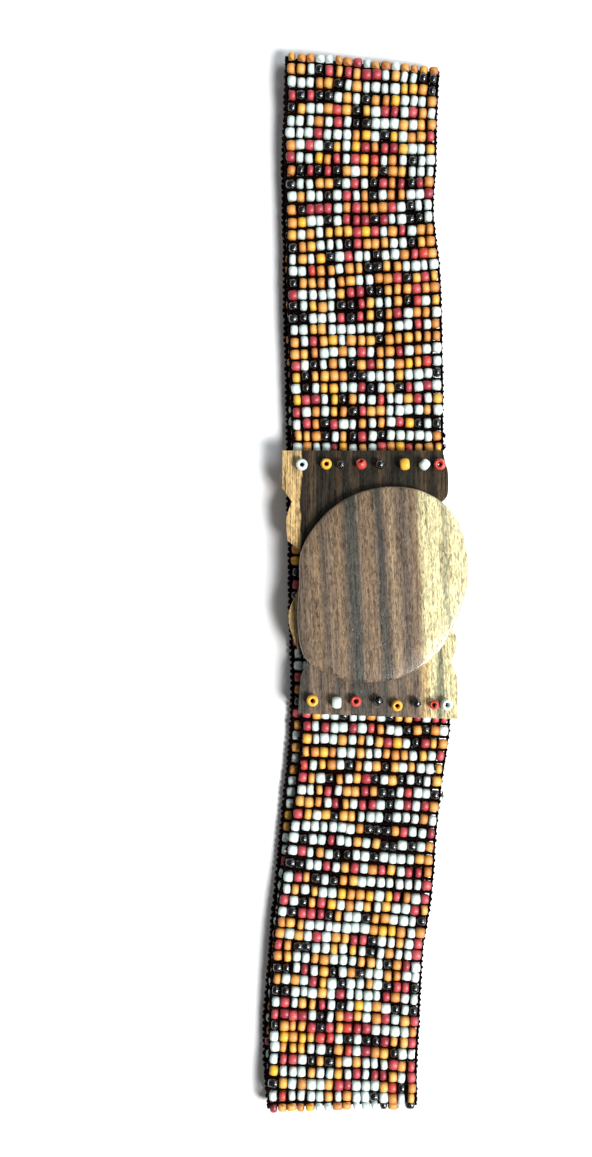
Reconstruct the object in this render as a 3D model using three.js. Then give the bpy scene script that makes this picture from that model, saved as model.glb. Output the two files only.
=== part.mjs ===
// A stretch belt of woven seed beads with a two-plate wooden buckle, fastened and laid flat.
//
// Millimetres, +Z up. The belt lies doubled on z = 0: the back layer on the surface, the front layer
// on top of it, a fold at each end of Y, and the buckle across the middle of the front layer. The
// origin is the middle of the whole outline, on the surface.
import * as THREE from 'three';

// Beadwork band, one strip from plate to plate round both folds
const bandWidth = 57.0; // over the beads and both edge cords
const bandThickness = 3.9; // one seed bead
const edgeCord = 1.1; // the knotted cord along each edge, and the slope of the band down to it
const layerGap = 0.4; // between the two layers where they lie on each other
const upperReach = 200.6; // middle of the buckle to the upper fold
const lowerReach = 201.4; // middle of the buckle to the lower fold
const foldLift = 1.6; // how much higher the front layer stands where it folds
const foldEase = 26; // length over which that lift dies away
const stationStep = 8; // spacing of the band's cross-sections
const foldSteps = 8; // cross-sections in each half turn

// Buckle
const clearance = 0.3; // between pieces that rest on each other
const plateThickness = 3.5;
const upperPlateWidth = 62.4;
const upperPlateEnd = 50.2; // middle of the buckle to the sewn end of the upper plate
const upperPlateShift = -0.4; // plate's centreline from the buckle's
const lowerPlateWidth = 60.1;
const lowerPlateEnd = 49.7; // middle of the buckle to the sewn end of the lower plate
const lowerPlateShift = 4.4;
const lowerPlateTurn = -2; // degrees
const jointPlace = -21.4; // the joint between the plates, under the disc, on the centreline
const jointTurn = 13; // degrees that it runs aslant
const jointGap = 0.8;
const bandTuck = 2.2; // how far the band's last row goes under a plate
const discReach = 39.5; // longest radius of the oval disc
const discCentreX = 5.2;
const discCentreY = -0.15;
const discThickness = 4.4;
const discRound = 1.2; // rounding of the disc's top rim
const discDome = 0.5; // rise of the disc's top from that rim to its middle
const discSides = 96;
const postDiameter = 8;
const hookSlack = 3; // how far the slot runs on beyond the post

// Stopper beads and the thread holes under them
const stopperDiameter = 4.3;
const stopperLength = 3.4;
const stopperBore = 1.4;
const stopperSides = 12;
const stopperSetback = 5.5; // sewn end to the row of thread holes
const threadHole = 1.4;

const degrees = Math.PI / 180;
const backMiddle = bandThickness / 2;
const frontMiddle = backMiddle + bandThickness + layerGap;
const plateBottom = frontMiddle + bandThickness / 2 + clearance;
const plateTop = plateBottom + plateThickness;
const discBottom = plateTop + clearance;

// Course of each layer. along: share of the reach, -1 at the lower fold and 1 at the upper one.
// shift and spread: the centreline and the width, as shares of bandWidth. turn: degrees that the bead
// rows lie off square.
const frontCourse = [
  { along: -1.0, shift: -0.154, spread: 0.993, turn: 2.0 },
  { along: -0.93, shift: -0.153, spread: 0.99, turn: -2.8 },
  { along: -0.757, shift: -0.132, spread: 0.997, turn: -3.6 },
  { along: -0.654, shift: -0.102, spread: 0.997, turn: -4.4 },
  { along: -0.597, shift: -0.07, spread: 1.01, turn: -4.7 },
  { along: -0.484, shift: -0.02, spread: 0.976, turn: -3.7 },
  { along: -0.371, shift: 0.03, spread: 0.965, turn: -1.5 },
  { along: -0.254, shift: 0.071, spread: 0.986, turn: -2.0 },
  { along: 0.25, shift: 0.014, spread: 1.01, turn: 0.0 },
  { along: 0.424, shift: 0.004, spread: 1.02, turn: 2.1 },
  { along: 0.586, shift: -0.01, spread: 1.02, turn: 3.7 },
  { along: 0.7, shift: -0.036, spread: 0.985, turn: 1.9 },
  { along: 0.823, shift: -0.032, spread: 1.015, turn: -1.6 },
  { along: 0.92, shift: -0.025, spread: 1.01, turn: -3.6 },
  { along: 1.0, shift: -0.019, spread: 1.02, turn: -5.4 },
];
const backCourse = [
  { along: -1.0, shift: -0.154, spread: 0.993, turn: 2.0 },
  { along: -0.88, shift: -0.183, spread: 1.0, turn: 1.0 },
  { along: -0.71, shift: -0.145, spread: 1.0, turn: -1.5 },
  { along: -0.555, shift: -0.096, spread: 1.0, turn: -4.0 },
  { along: -0.42, shift: -0.047, spread: 1.0, turn: -3.0 },
  { along: -0.254, shift: 0.0, spread: 1.0, turn: -1.0 },
  { along: 0.045, shift: -0.013, spread: 1.0, turn: 0.0 },
  { along: 0.272, shift: -0.026, spread: 1.0, turn: 0.5 },
  { along: 0.586, shift: -0.045, spread: 1.0, turn: 1.0 },
  { along: 0.823, shift: -0.052, spread: 1.0, turn: -2.0 },
  { along: 1.0, shift: -0.019, spread: 1.02, turn: -5.4 },
];

// The oval disc's radius all round, as shares of discReach, anticlockwise from +X in equal steps
const discRadii = [
  0.823, 0.88, 0.965, 0.965, 0.921, 0.878, 0.838, 0.815, 0.77, 0.852, 1.0, 0.966, 0.921, 0.884, 0.828, 0.79,
];

// Edges of the plates, from the sewn end on. from: share of the plate's width, back from the sewn
// end. inset: share of the width, in from the straight side. sharp: a carved corner or notch, where
// one scallop stops and the next starts. Each edge runs on past the joint, which then cuts it.
const upperLeftEdge = [
  { from: 0.0, inset: 0.0, sharp: true },
  { from: 0.223, inset: 0.0, sharp: true },
  { from: 0.308, inset: 0.06, sharp: true },
  { from: 0.375, inset: 0.033, sharp: false },
  { from: 0.446, inset: 0.024, sharp: false },
  { from: 0.542, inset: 0.032, sharp: true },
  { from: 0.596, inset: 0.103, sharp: true },
  { from: 0.716, inset: 0.15, sharp: true },
  { from: 0.837, inset: 0.096, sharp: false },
  { from: 1.0, inset: 0.038, sharp: false },
  { from: 1.205, inset: 0.096, sharp: false },
  { from: 1.5, inset: 0.25, sharp: true },
];
const upperRightEdge = [
  { from: 0.0, inset: 0.033, sharp: true },
  { from: 0.07, inset: 0.017, sharp: false },
  { from: 0.13, inset: 0.001, sharp: false },
  { from: 0.24, inset: 0.0, sharp: false },
  { from: 0.285, inset: 0.013, sharp: false },
  { from: 0.33, inset: 0.06, sharp: true },
  { from: 0.446, inset: 0.024, sharp: false },
  { from: 0.596, inset: 0.103, sharp: true },
  { from: 0.716, inset: 0.15, sharp: true },
  { from: 0.95, inset: 0.06, sharp: false },
  { from: 1.5, inset: 0.25, sharp: true },
];
const lowerLeftEdge = [
  { from: 0.0, inset: 0.0, sharp: true },
  { from: 0.233, inset: 0.009, sharp: true },
  { from: 0.327, inset: 0.05, sharp: true },
  { from: 0.8, inset: 0.05, sharp: true },
];
const lowerRightEdge = [
  { from: 0.0, inset: 0.0, sharp: true },
  { from: 0.25, inset: 0.008, sharp: true },
  { from: 0.352, inset: 0.053, sharp: true },
  { from: 0.473, inset: 0.022, sharp: false },
  { from: 0.572, inset: 0.056, sharp: false },
  { from: 0.9, inset: 0.25, sharp: true },
];

// Stopper beads. across: share of half the plate's width. back: share of the setback from the sewn
// end. size: share of the full bead. tip: degrees from hole-up to lying on its side. heading: degrees
// that it tips towards, from +X.
const upperStoppers = [
  { across: -0.764, back: 1.0, size: 1.0, tip: 0, heading: 0, colour: 0xdfe9e6 },
  { across: -0.471, back: 0.95, size: 0.95, tip: 0, heading: 0, colour: 0xe8a52b },
  { across: -0.295, back: 1.0, size: 0.76, tip: 85, heading: 20, colour: 0x14161b },
  { across: -0.051, back: 0.96, size: 0.9, tip: 50, heading: 110, colour: 0xc8452f },
  { across: 0.176, back: 1.0, size: 0.86, tip: 70, heading: 60, colour: 0x14161b },
  { across: 0.471, back: 0.98, size: 1.0, tip: 80, heading: 5, colour: 0xe8a52b },
  { across: 0.708, back: 1.0, size: 0.95, tip: 80, heading: 140, colour: 0xdfe9e6 },
  { across: 0.891, back: 0.98, size: 1.0, tip: 12, heading: 200, colour: 0xc23a3f },
];
const lowerStoppers = [
  { across: -0.827, back: 0.95, size: 1.0, tip: 0, heading: 0, colour: 0xe8a52b },
  { across: -0.524, back: 0.88, size: 1.0, tip: 85, heading: 0, colour: 0xdfe9e6 },
  { across: -0.288, back: 1.0, size: 0.95, tip: 10, heading: 90, colour: 0xc8452f },
  { across: -0.008, back: 1.08, size: 0.86, tip: 70, heading: 120, colour: 0x14161b },
  { across: 0.228, back: 0.82, size: 0.95, tip: 5, heading: 270, colour: 0xe8a52b },
  { across: 0.471, back: 1.02, size: 0.84, tip: 80, heading: 30, colour: 0x14161b },
  { across: 0.693, back: 0.95, size: 0.82, tip: 15, heading: 180, colour: 0xa3262b },
  { across: 0.842, back: 1.0, size: 1.0, tip: 8, heading: 0, colour: 0xdfe9e6 },
];

const finish = (color, roughness) => new THREE.MeshStandardMaterial({ color, roughness, metalness: 0 });

// Closed body through a row of rings with as many points each, with a flat cap at both ends
function skin(rings) {
  const count = rings[0].length;
  const positions = rings.flat().flatMap((point) => [point.x, point.y, point.z]);
  const faces = [];
  for (let ring = 0; ring < rings.length - 1; ring += 1) {
    for (let i = 0; i < count; i += 1) {
      const a = ring * count + i;
      const b = ring * count + ((i + 1) % count);
      faces.push(a, b, b + count, a, b + count, a + count);
    }
  }
  const last = (rings.length - 1) * count;
  for (let i = 1; i < count - 1; i += 1) {
    faces.push(0, i + 1, i, last, last + i, last + i + 1);
  }
  const geometry = new THREE.BufferGeometry();
  geometry.setAttribute('position', new THREE.Float32BufferAttribute(positions, 3));
  geometry.setIndex(faces);
  geometry.computeVertexNormals();
  return geometry;
}

// Reads a course table as a smooth curve: the band's middle, width and slope of its rows at any y
function courseReader(course) {
  const places = course.map((row) => row.along);
  const values = course.flatMap((row) => [row.shift, row.spread, row.turn]);
  const curve = new THREE.CubicInterpolant(places, values, 3, new Float64Array(3));
  return (y) => {
    const along = y / (y > 0 ? upperReach : lowerReach);
    const [shift, spread, turn] = curve.evaluate(THREE.MathUtils.clamp(along, -1, 1));
    return { middle: shift * bandWidth, width: spread * bandWidth, slope: Math.tan(turn * degrees) };
  };
}

// Where the band turns round: half the distance between the layers' middles, and the turn's centre
const foldRadius = (frontMiddle + foldLift - backMiddle) / 2;
const foldCentre = (reach) => reach - bandThickness / 2 - foldRadius;

// Height of the front layer's middle: level, and rising a little towards each fold
function frontHeight(y) {
  const reach = y > 0 ? upperReach : lowerReach;
  const distance = Math.min(1, (foldCentre(reach) - Math.abs(y)) / foldEase);
  return frontMiddle + (foldLift * (1 + Math.cos(Math.PI * distance))) / 2;
}

// Stations along the middle of the band, from the end under the lower plate, down the front, round
// the lower fold, up the back, round the upper fold and down to the end under the upper plate
function bandStations() {
  const stations = [];
  const front = courseReader(frontCourse);
  const back = courseReader(backCourse);
  const straight = (read, start, end, height) => {
    const steps = Math.round(Math.abs(end - start) / stationStep);
    for (let i = 0; i <= steps; i += 1) {
      const y = THREE.MathUtils.lerp(start, end, i / steps);
      stations.push({ y, z: height(y), ...read(y) });
    }
  };
  const fold = (side, reach) => {
    for (let i = 1; i < foldSteps; i += 1) {
      const angle = (Math.PI * i) / foldSteps;
      const y = side * (foldCentre(reach) + foldRadius * Math.sin(angle));
      const z = backMiddle + foldRadius - side * foldRadius * Math.cos(angle);
      stations.push({ y, z, ...front(side * reach) });
    }
  };
  straight(front, bandTuck - lowerPlateEnd, -foldCentre(lowerReach), frontHeight);
  fold(-1, lowerReach);
  straight(back, -foldCentre(lowerReach), foldCentre(upperReach), () => backMiddle);
  fold(1, upperReach);
  straight(front, foldCentre(upperReach), upperPlateEnd - bandTuck, frontHeight);
  return stations;
}

// The band: a flat section with its edges sloped down to the edge cords, swept along the stations
function beadedBand() {
  const half = bandThickness / 2;
  const stations = bandStations();
  const rings = stations.map((station, i) => {
    const before = stations[Math.max(i - 1, 0)];
    const after = stations[Math.min(i + 1, stations.length - 1)];
    const run = Math.hypot(after.y - before.y, after.z - before.z);
    const outY = (after.z - before.z) / run;
    const outZ = (before.y - after.y) / run;
    const side = station.width / 2;
    const flat = side - edgeCord;
    const rim = half - edgeCord;
    const section = [
      [-side, -rim], [-flat, -half], [flat, -half], [side, -rim],
      [side, rim], [flat, half], [-flat, half], [-side, rim],
    ];
    return section.map(([across, out]) => new THREE.Vector3(
      station.middle + across,
      station.y + outY * out + across * station.slope,
      station.z + outZ * out,
    ));
  });
  return new THREE.Mesh(skin(rings), finish(0xb9794b, 0.45));
}

// Places on the plates, from across the plate's centreline and the distance back from its sewn end
const onUpperPlate = (across, from) => new THREE.Vector2(upperPlateShift + across, upperPlateEnd - from);
const lowerSewnEnd = new THREE.Vector2(lowerPlateShift, -lowerPlateEnd);
const onLowerPlate = (across, from) => new THREE.Vector2(across, from)
  .add(lowerSewnEnd)
  .rotateAround(lowerSewnEnd, lowerPlateTurn * degrees);

// Where a stopper bead's thread comes up through its plate
const threadPlace = (row, width, place) => place((row.across * width) / 2, row.back * stopperSetback);

// One edge of a plate as points, smooth between its sharp corners. side: -1 left, 1 right.
function edgePoints(edge, side, width, place) {
  const points = [];
  let scallop = [];
  edge.forEach((row) => {
    scallop.push(place(side * width * (0.5 - row.inset), width * row.from));
    if (row.sharp && scallop.length > 1) {
      const steps = scallop.length > 2 ? 4 * scallop.length : 1;
      points.push(...new THREE.SplineCurve(scallop).getPoints(steps).slice(0, -1));
      scallop = [scallop.at(-1)];
    }
  });
  return [...points, scallop[0]];
}

// The part of an edge that lies on one plate's side of the joint, ended on it. side: 1 above it.
function cutAtJoint(points, side) {
  const left = (point) => {
    const joint = jointPlace + point.x * Math.tan(jointTurn * degrees);
    return side * (point.y - joint) - jointGap / 2;
  };
  const cut = points.findIndex((point) => left(point) < 0);
  const [last, next] = [points[cut - 1], points[cut]];
  return [...points.slice(0, cut), last.clone().lerp(next, left(last) / (left(last) - left(next)))];
}

function roundHole(centre, diameter) {
  const hole = new THREE.Path();
  hole.absarc(centre.x, centre.y, diameter / 2, 0, 2 * Math.PI, true);
  return hole;
}

// Slot in the upper plate that drops over the post and bears on its lower side
function hookSlot() {
  const radius = postDiameter / 2 + clearance;
  const slot = new THREE.Path();
  slot.absarc(discCentreX, discCentreY + hookSlack, radius, 0, Math.PI, false);
  slot.absarc(discCentreX, discCentreY, radius, Math.PI, 2 * Math.PI, false);
  return slot;
}

// A plate: its outline between its two edges, cut through by its thread holes and any slot
function plate({ leftEdge, rightEdge, width, place, side, stoppers, slots, material }) {
  const left = cutAtJoint(edgePoints(leftEdge, -1, width, place), side);
  const right = cutAtJoint(edgePoints(rightEdge, 1, width, place), side);
  const outline = [...left, ...right.reverse()];
  const shape = new THREE.Shape(THREE.ShapeUtils.isClockWise(outline) ? outline.reverse() : outline);
  const threads = stoppers.map((row) => threadPlace(row, width, place));
  shape.holes = [...slots, ...threads.map((centre) => roundHole(centre, threadHole))];
  const geometry = new THREE.ExtrudeGeometry(shape, {
    depth: plateThickness, bevelEnabled: false, curveSegments: 10,
  });
  const mesh = new THREE.Mesh(geometry, material);
  mesh.position.z = plateBottom;
  return mesh;
}

const upperPlate = {
  leftEdge: upperLeftEdge,
  rightEdge: upperRightEdge,
  width: upperPlateWidth,
  place: onUpperPlate,
  side: 1,
  stoppers: upperStoppers,
  slots: [hookSlot()],
  material: finish(0x4a3730, 0.45),
};
const lowerPlate = {
  leftEdge: lowerLeftEdge,
  rightEdge: lowerRightEdge,
  width: lowerPlateWidth,
  place: onLowerPlate,
  side: -1,
  stoppers: lowerStoppers,
  slots: [],
  material: finish(0x7c685b, 0.4),
};

// Oval disc: a hand-cut outline, a rounded top rim and a slightly domed top
function buckleDisc() {
  const corners = discRadii.map((share, i) => {
    const bearing = (2 * Math.PI * i) / discRadii.length;
    return new THREE.Vector3(Math.cos(bearing), Math.sin(bearing), 0).multiplyScalar(share * discReach);
  });
  const outline = new THREE.CatmullRomCurve3(corners, true).getPoints(discSides).slice(0, -1);
  const ring = (inset, height) => outline.map((point) => {
    const reach = point.length();
    return point.clone().multiplyScalar((reach - inset) / reach).setZ(height);
  });
  const rim = discThickness - discDome;
  const rings = [ring(discRound / 2, 0), ring(0, discRound / 2), ring(0, rim - discRound)];
  for (let i = 1; i <= 3; i += 1) {
    const angle = (i / 3) * (Math.PI / 2);
    rings.push(ring(discRound * (1 - Math.cos(angle)), rim - discRound * (1 - Math.sin(angle))));
  }
  for (const share of [0.75, 0.5, 0.25]) {
    const dome = outline.map((point) => point.clone().multiplyScalar(share));
    rings.push(dome.map((point) => point.setZ(rim + discDome * (1 - share ** 2))));
  }
  const mesh = new THREE.Mesh(skin(rings), finish(0x8b7358, 0.25));
  mesh.position.set(discCentreX, discCentreY, discBottom);
  return mesh;
}

// Hidden post under the disc, standing in the upper plate's slot
function hookPost() {
  const height = discBottom - clearance - plateBottom;
  const geometry = new THREE.CylinderGeometry(postDiameter / 2, postDiameter / 2, height, 16);
  geometry.rotateX(Math.PI / 2);
  const mesh = new THREE.Mesh(geometry, finish(0x6d5442, 0.5));
  mesh.position.set(discCentreX, discCentreY, plateBottom + height / 2);
  return mesh;
}

// Stopper bead: a rounded ring, tipped as the thread left it, lying on its plate
function stopperBead({ size, tip, heading, colour }, at) {
  const [radius, half] = [(size * stopperDiameter) / 2, (size * stopperLength) / 2];
  const profile = [
    [stopperBore / 2, -0.7 * half], [0.62 * radius, -half], [0.92 * radius, -0.62 * half], [radius, 0],
    [0.92 * radius, 0.62 * half], [0.62 * radius, half], [stopperBore / 2, 0.7 * half],
    [stopperBore / 2, -0.7 * half],
  ];
  const geometry = new THREE.LatheGeometry(profile.map(([r, y]) => new THREE.Vector2(r, y)), stopperSides);
  geometry.rotateX(Math.PI / 2);
  const mesh = new THREE.Mesh(geometry, finish(colour, 0.2));
  mesh.rotation.set(0, tip * degrees, heading * degrees, 'ZYX');
  const foot = new THREE.Box3().setFromObject(mesh, true).min.z;
  mesh.position.set(at.x, at.y, plateTop + clearance - foot);
  return mesh;
}

const belt = new THREE.Group();
const add = (name, mesh) => {
  mesh.name = name;
  belt.add(mesh);
};

add('beaded_band', beadedBand());
add('upper_end_plate', plate(upperPlate));
add('lower_end_plate', plate(lowerPlate));
add('buckle_disc', buckleDisc());
add('hook_post', hookPost());
for (const [row, sewn] of [['upper', upperPlate], ['lower', lowerPlate]]) {
  sewn.stoppers.forEach((stopper, i) => {
    const at = threadPlace(stopper, sewn.width, sewn.place);
    add(`${row}_stopper_${i + 1}`, stopperBead(stopper, at));
  });
}

// Centre the whole outline on the origin
const middle = new THREE.Box3().setFromObject(belt, true).getCenter(new THREE.Vector3());
belt.position.set(-middle.x, -middle.y, 0);

export default belt;
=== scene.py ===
# %% [markdown]
# # A beaded stretch belt with a two-plate wooden buckle
#
# The belt is a wide strip of glass seed beads on black elastic. It is buckled, so it is a closed
# loop, and the loop lies flat and doubled: the back layer on the surface, the front layer with the
# buckle on top, and a round fold at each end. This lesson threads the beads, sews the edges and
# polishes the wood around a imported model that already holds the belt's form and size.

import math

import bmesh
import bpy
import numpy as np
from mathutils import Matrix, Vector
from mathutils.bvhtree import BVHTree


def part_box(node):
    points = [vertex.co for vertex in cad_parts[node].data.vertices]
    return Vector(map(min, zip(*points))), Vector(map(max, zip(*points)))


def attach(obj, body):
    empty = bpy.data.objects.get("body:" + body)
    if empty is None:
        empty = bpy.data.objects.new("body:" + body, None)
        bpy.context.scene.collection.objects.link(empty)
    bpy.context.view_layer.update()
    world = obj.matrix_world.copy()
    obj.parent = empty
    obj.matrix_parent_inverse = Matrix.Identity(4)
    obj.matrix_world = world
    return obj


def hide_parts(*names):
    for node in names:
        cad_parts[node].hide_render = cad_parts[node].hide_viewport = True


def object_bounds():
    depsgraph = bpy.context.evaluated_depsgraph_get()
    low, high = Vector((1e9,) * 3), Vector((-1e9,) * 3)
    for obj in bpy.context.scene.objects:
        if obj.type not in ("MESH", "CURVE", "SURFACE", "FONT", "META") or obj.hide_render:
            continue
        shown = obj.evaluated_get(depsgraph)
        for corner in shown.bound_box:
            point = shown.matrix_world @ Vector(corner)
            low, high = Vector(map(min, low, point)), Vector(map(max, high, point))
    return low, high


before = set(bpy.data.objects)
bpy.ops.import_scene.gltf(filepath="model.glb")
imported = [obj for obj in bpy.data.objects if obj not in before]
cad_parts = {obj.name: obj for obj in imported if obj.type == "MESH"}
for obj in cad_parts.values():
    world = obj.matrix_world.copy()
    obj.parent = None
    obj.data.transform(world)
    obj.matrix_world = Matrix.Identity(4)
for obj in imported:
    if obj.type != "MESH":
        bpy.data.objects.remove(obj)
cad_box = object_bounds()
MM = 0.001
UP = Vector((0, 0, 1))
FAR = 1.0
print("box of the packed model, mm:", [[round(c / MM, 1) for c in corner] for corner in cad_box])

# %% [markdown]
# ## Two small tools for node trees
#
# Every tree below, for geometry and for shading, is wired by the same two helpers. `put` adds a node
# and feeds its inputs, either with a plain value or with another node's output. `result` finds the
# output to pass on. Some nodes hide inputs that share a name, so both look at enabled sockets only.


# %% Wire nodes
def socket(sockets, name):
    """The enabled socket of that name, or at that place if the name is a number."""
    if isinstance(name, int):
        return sockets[name]
    return next(s for s in sockets if s.name == name and s.enabled)


def put(tree, kind, feeds=None, **settings):
    """Add a node, set its properties, and feed its inputs with values or with other outputs."""
    node = tree.nodes.new(kind)
    for key, value in settings.items():
        setattr(node, key, value)
    for name, value in (feeds or {}).items():
        place = socket(node.inputs, name)
        if isinstance(value, bpy.types.NodeSocket):
            tree.links.new(value, place)
        else:
            place.default_value = value
    return node


def result(node, name=None):
    """A node's output of that name, or its first enabled one."""
    if name is not None:
        return socket(node.outputs, name)
    return next(s for s in node.outputs if s.enabled)


def sums(tree, operation, first, second=0.0, third=0.0):
    """The output of a Math node."""
    kind = "ShaderNodeMath"
    return result(put(tree, kind, {0: first, 1: second, 2: third}, operation=operation))


def new_group(name, kind, inputs, outputs):
    """A node group with named sockets. Returns the tree, its inputs by name and its output node."""
    tree = bpy.data.node_groups.new(name, kind)
    for label, socket_type, default in inputs:
        item = tree.interface.new_socket(name=label, in_out="INPUT", socket_type=socket_type)
        if default is not None:
            item.default_value = default
    for label, socket_type in outputs:
        tree.interface.new_socket(name=label, in_out="OUTPUT", socket_type=socket_type)
    entry = tree.nodes.new("NodeGroupInput")
    given = {s.name: s for s in entry.outputs if s.name}
    return tree, given, tree.nodes.new("NodeGroupOutput")


# %% [markdown]
# ## Finding the strip in the frame
#
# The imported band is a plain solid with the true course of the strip: it bends to and fro, folds over
# at both ends and stops under the two plates. Rays find its thickness, its folds and its ends, so the
# beads always lie where that solid is, and no size of the band is written twice.

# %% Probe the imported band
graph = bpy.context.evaluated_depsgraph_get()
band_tree = BVHTree.FromObject(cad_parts["beaded_band"], graph)


def first_hit(start, direction):
    """Where a ray first meets the band."""
    return band_tree.ray_cast(Vector(start), Vector(direction))[0]


def edges_at(y, z, climb=0.0):
    """X of the band's left and right edge. climb is how much further up Y a slanting row ends."""
    return [first_hit((side * FAR, y + side * climb / 2, z), (-side, 0, 0)).x for side in (-1, 1)]


plate_low, plate_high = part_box("upper_end_plate")
thickness = first_hit((0, 0, plate_low.z), -UP).z
back_height = thickness / 2


def front_height(y):
    """Height of the front layer's middle."""
    return first_hit((0, y, FAR), -UP).z - thickness / 2


beside_plate = plate_high.y + thickness
sewn_height = front_height(beside_plate)
left_edge, right_edge = edges_at(beside_plate, sewn_height)
usual_width = right_edge - left_edge
HAIR = 0.5 * MM
sewn_end = {side: first_hit((0, 0, sewn_height), (0, side, 0)).y + side * HAIR for side in (-1, 1)}
print("thickness of the band, mm:", round(thickness / MM, 2))
print("sewn ends at Y, mm:", [round(y / MM, 1) for y in sewn_end.values()])

# %% [markdown]
# ## The strip as one long line
#
# A weaver's strip has one direction: it starts under the lower plate, runs down the front, round the
# lower fold, up the whole back, round the upper fold and back down to the upper plate. The next cell
# walks that line in small steps. The solid can't tell how far the rows of beads lie off square,
# because the elastic has let them slip. Those angles are two short tables, read off.

# %% Walk the strip
FRONT_TURNS = [  # share of the way from the middle of the belt to a fold, and degrees off square
    (-1.0, 2.0),
    (-0.93, -2.8),
    (-0.757, -3.6),
    (-0.597, -4.7),
    (-0.484, -3.7),
    (-0.371, -1.5),
    (-0.254, -2.0),
    (0.25, 0.0),
    (0.424, 2.1),
    (0.586, 3.7),
    (0.7, 1.9),
    (0.823, -1.6),
    (0.92, -3.6),
    (1.0, -5.4),
]
BACK_TURNS = [
    (-1.0, 2.0),
    (-0.88, 1.0),
    (-0.71, -1.5),
    (-0.555, -4.0),
    (-0.42, -3.0),
    (-0.254, -1.0),
    (0.586, 1.0),
    (0.823, -2.0),
    (1.0, -5.4),
]
WALK_STEPS = 220
ARC_STEPS = 24


def row_slope(turns, y):
    """How much a row climbs along Y for each metre across."""
    shares, degrees = zip(*turns)
    return math.tan(math.radians(np.interp(y / cad_box[1][1], shares, degrees)))


def fold_of(side):
    """Centre (y, z) and radius of the half turn at one end of the belt."""
    outermost = first_hit((0, side * FAR, thickness), (0, -side, 0)).y
    radius = (front_height(outermost - side * thickness) - back_height) / 2
    return outermost - side * (thickness / 2 + radius), back_height + radius, radius


def half_turn(side):
    """Points round a fold, in the order in which the strip passes them."""
    y, z, radius = fold_of(side)
    angles = [-side * math.pi * (0.5 - i / ARC_STEPS) for i in range(1, ARC_STEPS)]
    return [(y + side * radius * math.cos(a), z + radius * math.sin(a)) for a in angles]


def strip_line():
    """Points (y, z, slope of the rows) along the middle of the strip, from end to end."""
    low_fold, high_fold = fold_of(-1)[0], fold_of(1)[0]
    line = []
    for y in np.linspace(sewn_end[-1], low_fold, WALK_STEPS):
        line.append((y, front_height(y), row_slope(FRONT_TURNS, y)))
    line += [(y, z, row_slope(FRONT_TURNS, -FAR)) for y, z in half_turn(-1)]
    for y in np.linspace(low_fold, high_fold, 2 * WALK_STEPS):
        line.append((y, back_height, row_slope(BACK_TURNS, y)))
    line += [(y, z, row_slope(FRONT_TURNS, FAR)) for y, z in half_turn(1)]
    for y in np.linspace(high_fold, sewn_end[1], WALK_STEPS):
        line.append((y, front_height(y), row_slope(FRONT_TURNS, y)))
    return np.array(line)


line = strip_line()
way = np.concatenate([[0], np.cumsum(np.hypot(*np.diff(line[:, :2], axis=0).T))])
tangents = np.gradient(line[:, :2], way, axis=0)
print("length of the strip, mm:", round(way[-1] / MM))

# %% [markdown]
# ## Setting out the rows
#
# The strip is stretched more in some places than in others, so the rows stand 4.9 mm apart just below
# the buckle and 4.3 mm apart further down. At each fold one row sits a little above the bend, so that
# the belt ends in a full row of beads when it is seen from above. A section records everything that is
# needed at one place along the strip: its middle, its two edges, how wide the edge cords are there, and
# the directions across, along and out of the beadwork.

# %% Set out rows and the gaps between them
LOWER_END_GAP = 2.3 * MM
UPPER_END_GAP = 3.4 * MM
STRETCHED_UNTIL = 70 * MM
PITCHES = [4.87 * MM, 4.27 * MM, 4.5 * MM, 4.53 * MM]
ABOVE_THE_BEND = math.radians(35)
FRONT_CORD = 0.45 * MM
BACK_CORD = 1.0 * MM


def stretch(start, end, pitch):
    """Places from start to end, evenly spaced and as near to the pitch as fits."""
    return np.linspace(start, end, round((end - start) / pitch) + 1)


def section_at(place):
    """The strip's cross-section at a distance along it."""
    y, z, slope = (np.interp(place, way, line[:, i]) for i in range(3))
    run_y, run_z = (np.interp(place, way, tangents[:, i]) for i in range(2))
    left, right = edges_at(y, z, slope * usual_width)
    out = Vector((0, run_z, -run_y)).normalized()
    row = Vector((1, slope, 0)).normalized()
    cord = np.interp(z, (back_height, back_height + thickness), (BACK_CORD, FRONT_CORD))
    place_and_edges = {"y": y, "z": z, "slope": slope, "left": left, "right": right, "cord": cord}
    return {**place_and_edges, "out": out, "row": row}


def point_on(section, share, lift=0.0):
    """A point on a section: share runs from 0 at the left edge to 1 at the right one."""
    middle = (section["left"] + section["right"]) / 2
    x = section["left"] + share * (section["right"] - section["left"])
    return Vector((x, section["y"] + (x - middle) * section["slope"], section["z"])) + lift * section["out"]


low_bend, high_bend = (way[np.argmin(line[:, 0])], way[np.argmax(line[:, 0])])
stages = [
    LOWER_END_GAP,
    STRETCHED_UNTIL,
    low_bend - ABOVE_THE_BEND * fold_of(-1)[2],
    high_bend + ABOVE_THE_BEND * fold_of(1)[2],
    way[-1] - UPPER_END_GAP,
]
steps = [stretch(start, end, pitch)[1:] for start, end, pitch in zip(stages, stages[1:], PITCHES)]
row_places = np.concatenate([stages[:1], *steps])
gap_places = (row_places[1:] + row_places[:-1]) / 2
rows = [section_at(place) for place in row_places]
gaps = [section_at(place) for place in gap_places]
print("rows of beads:", len(rows))

# %% [markdown]
# ## The loom
#
# The loom is a cloud of points, one for the middle of every bead. Each point also carries two
# directions, as attributes: `row`, along which the bead's hole runs, and `out`, which points away
# from the belt. A third attribute, `size`, makes things bigger or smaller there. Geometry Nodes will
# hang a bead on every point and turn it with those directions.

# %% Make the loom points
COLUMNS = 16


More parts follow.
